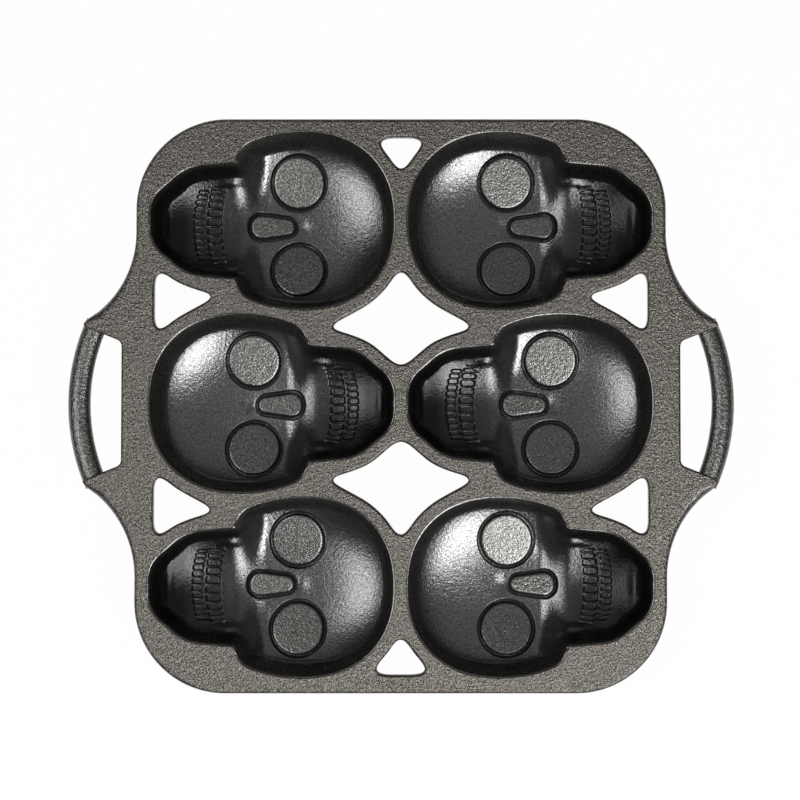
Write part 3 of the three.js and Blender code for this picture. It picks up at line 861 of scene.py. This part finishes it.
# The whole edge from its four quarters, with its rounding
def deckEdge():
    back, rounding = deckQuarter(deck["halfDepth"] - middleRow)
    front = deckQuarter(deck["halfDepth"] + middleRow)[0]
    quarters = [back[:-1], (back * [-1, 1])[:0:-1], (front * [-1, -1])[:-1], (front * [1, -1])[:0:-1]]
    return np.vstack(quarters) + [0, middleRow], np.concatenate([rounding[:-1], rounding[:0:-1]] * 2)


# Room at points of the deck, between the cups and in from its straight sides
def webRoom(points):
    far = np.full(len(points), 1e3)
    room = far
    loop = skullLoop(0)[::2]
    for row in (backRow, middleRow, frontRow):
        rowRoom = far
        for x, y, facing in cupPlaces.values():
            if abs(y - row) < 1:
                local = (points - [x, y]) * facing + [skullLength / 2, 0]
                rowRoom = smoothMin(np.abs(loopDistance(local, loop)), rowRoom, deck["holeTipRound"])
        room = smoothMin(rowRoom, room, deck["holeSideRound"])
    edgeRoom = ([deck["halfWidth"], deck["halfDepth"]] - np.abs(points)).min(1)
    return smoothMin(room, edgeRoom - deck["holeMargin"] + deck["holeWeb"], deck["holeTipRound"])


# The holes that the webs leave around the roomiest point of each span
def webHoles(spans):
    lines = [np.linspace(start, end, 60) for start, end in spans]
    centres = [line[webRoom(line).argmax()] for line in lines]
    angle = np.linspace(0, 2 * math.pi, 220, endpoint=False)
    heading = np.tile(np.stack([np.cos(angle), np.sin(angle)], 1), (len(spans), 1))
    points = np.repeat(centres, len(angle), 0)
    for step in range(40):
        points = points + heading * (webRoom(points) - deck["holeWeb"])[:, None]
    return [evenly(hole, deck["holeGap"]) for hole in points.reshape(len(spans), -1, 2)]


# Every hole of the deck: along the middle, at the right side and, mirrored from there, at the left
def deckHoles():
    sideX = deck["halfWidth"] - deck["holeMargin"] - deck["holeWeb"]
    spans = []
    for row, end in ((backRow, deck["halfDepth"]), (frontRow, -deck["halfDepth"])):
        spans += [((0, middleRow), (0, row)), ((0, row), (0, end)), ((sideX, middleRow), (sideX, row))]
    holes = webHoles(spans)
    return holes + [(hole * [-1, 1])[::-1] for hole in holes[2::3]]


# Rings over a rounded edge, from the flat top to the flat underside; side is -1 around a hole
def edgeRings(loop, rounding, side):
    along = np.roll(loop, -1, axis=0) - np.roll(loop, 1, axis=0)
    outward = side * np.stack([along[:, 1], -along[:, 0]], 1) / np.linalg.norm(along, axis=1)[:, None]
    under = np.minimum(rounding, deck["underRound"])
    turns = np.linspace(0, math.pi / 2, 7)
    profile = [(rounding + deck["edgeLand"], 0 * rounding)]
    profile += [(rounding * (1 - math.sin(t)), rounding * (1 - math.cos(t))) for t in turns]
    profile += [(under * (1 - math.cos(t)), deck["thickness"] - under * (1 - math.sin(t))) for t in turns]
    profile += [(under + deck["edgeLand"], deck["thickness"] + 0 * rounding)]
    return [np.column_stack([loop - outward * inset[:, None], panHeight - drop])
            for inset, drop in profile]


# The two rings that a cup leaves open in the deck, at its top and at its underside
def cupRings(x, y, facing):
    rings = []
    for grow, drop in ((cup["rimLand"], 0), (cup["filletReach"], deck["thickness"])):
        loop = (skullLoop(grow) - [skullLength / 2, 0]) * facing + [x, y]
        rings.append(np.column_stack([loop, np.full(len(loop), panHeight - drop)]))
    return rings


# The deck's top and underside are filled between the rings of its edge, its holes and the cups
def makeDeck():
    borders = [(edgeRings(*deckEdge(), 1), 1, deck["edgeSatin"])]
    for hole in deckHoles():
        rounding = np.full(len(hole), deck["holeEdgeRound"])
        borders.append((edgeRings(hole, rounding, -1), -1, deck["edgeSatin"]))
    borders += [(cupRings(*place), -1, 0) for place in cupPlaces.values()]
    blocks, satin, faces, topLoops, lowLoops = [], [], [], [], []
    total = 0
    for rings, side, polish in borders:
        count = len(rings[0])
        starts = [total + k * count for k in range(len(rings))]
        for upper, lower in zip(starts, starts[1:]):
            faces += [quad[::side] for quad in strip(upper, lower, count)]
        topLoops.append(list(range(starts[0], starts[0] + count)))
        lowLoops.append(list(range(starts[-1], starts[-1] + count)))
        blocks += rings
        satin += [np.full(count, polish * min(k / deck["edgeSatinRings"], 1)) for k in range(len(rings))]
        total += len(rings) * count
    points = np.vstack(blocks)
    for loops, side in ((topLoops, 1), (lowLoops, -1)):
        ids = np.concatenate(loops)
        ends = np.cumsum([len(loop) for loop in loops])
        local = [list(range(end - len(loop), end)) for loop, end in zip(loops, ends)]
        faces += [ids[face].tolist()[::side] for face in fillLoops(points[ids, :2], local)]
    sharp = np.zeros(len(points), bool)
    seams = len(cupPlaces)
    sharp[np.concatenate(topLoops[-seams:] + lowLoops[-seams:])] = True
    mesh = makeMesh("panDeck", points, faces, sharp)
    mesh.attributes.new("satin", "FLOAT", "POINT").data.foreach_set("value", np.concatenate(satin))
    mesh.materials.append(castIron)
    return mesh


makePiece("panDeck", makeDeck(), "deck_plate")
print("deck ready")

# Studio: a white floor, a camera that looks down and soft lights from the front, the left and above.
# The floor and the lights are in metres, the camera in millimetres.
studio = {
    "floorSize": 40,
    "paper": "#f8f8f8",
    "cameraHeight": 1070,
    "lens": 84.3,
    "nadir": (29.6, -38.5),  # the point below the camera
    "shift": (-0.0658, 0.0109),
    "tilt": 1.94,
    "lights": {
        "front": {"place": (0.82, -1.42, 1.8), "size": (1.15, 1.8), "power": 51},
        "left": {"place": (-1.27, -0.18, 1.8), "size": (1.2, 1.15), "power": 15.5},
        "top": {"place": (0.3, 0.4, 1.6), "size": (2.4, 2.4), "power": 4.5},
    },
    "ambient": 0.04,
    "glow": 0.975,  # share of white in the paper, the rest takes the shadow
}

floorMesh = bpy.data.meshes.new("floor")
half = studio["floorSize"] / 2
corners = [(-half, -half, 0), (half, -half, 0), (half, half, 0), (-half, half, 0)]
floorMesh.from_pydata(corners, [], [[0, 1, 2, 3]])
floor = bpy.data.objects.new("floor", floorMesh)
bpy.context.scene.collection.objects.link(floor)

# Matt white paper: it takes the pan's shadow and otherwise looks white to the camera and to the metal
paper = bpy.data.materials.new("whitePaper")
paper.use_nodes = True
paper.node_tree.nodes.clear()
rays = addNode(paper.node_tree, "ShaderNodeLightPath").outputs
seen = rays["Is Camera Ray"]
for kind in ("Is Glossy Ray", "Is Transmission Ray"):
    seen = addNode(paper.node_tree, "ShaderNodeMath", {"operation": "MAXIMUM"}, {
        0: seen, 1: rays[kind]}).outputs["Value"]
share = addNode(paper.node_tree, "ShaderNodeMath", {"operation": "MULTIPLY"}, {
    0: seen, 1: studio["glow"]}).outputs["Value"]
glow = addNode(paper.node_tree, "ShaderNodeEmission", None, {"Strength": 1.0}).outputs["Emission"]
matt = addNode(paper.node_tree, "ShaderNodeBsdfDiffuse", None, {
    "Color": linearColour(studio["paper"])}).outputs["BSDF"]
both = addNode(paper.node_tree, "ShaderNodeMixShader", None, {
    0: share, 1: matt, 2: glow}).outputs["Shader"]
addNode(paper.node_tree, "ShaderNodeOutputMaterial", None, {"Surface": both})
floorMesh.materials.append(paper)

for name, light in studio["lights"].items():
    data = bpy.data.lights.new(name + "Light", "AREA")
    data.shape = "RECTANGLE"
    data.size, data.size_y = light["size"]
    data.energy = light["power"]
    lamp = bpy.data.objects.new(name + "Light", data)
    bpy.context.scene.collection.objects.link(lamp)
    lamp.location = light["place"]

world = bpy.data.worlds.new("studioAir")
world.use_nodes = True
background = world.node_tree.nodes["Background"]
background.inputs["Color"].default_value = linearColour("#ffffff")
background.inputs["Strength"].default_value = studio["ambient"]
bpy.context.scene.world = world

cameraData = bpy.data.cameras.new("camera")
cameraData.lens = studio["lens"]
cameraData.shift_x, cameraData.shift_y = studio["shift"]
camera = bpy.data.objects.new("camera", cameraData)
bpy.context.scene.collection.objects.link(camera)
nadirX, nadirY = studio["nadir"]
camera.location = (nadirX * mm, nadirY * mm, (panHeight + studio["cameraHeight"]) * mm)
camera.rotation_euler.x = math.radians(studio["tilt"])
bpy.context.scene.camera = camera
bpy.context.scene.view_settings.view_transform = "Standard"
print("studio ready")
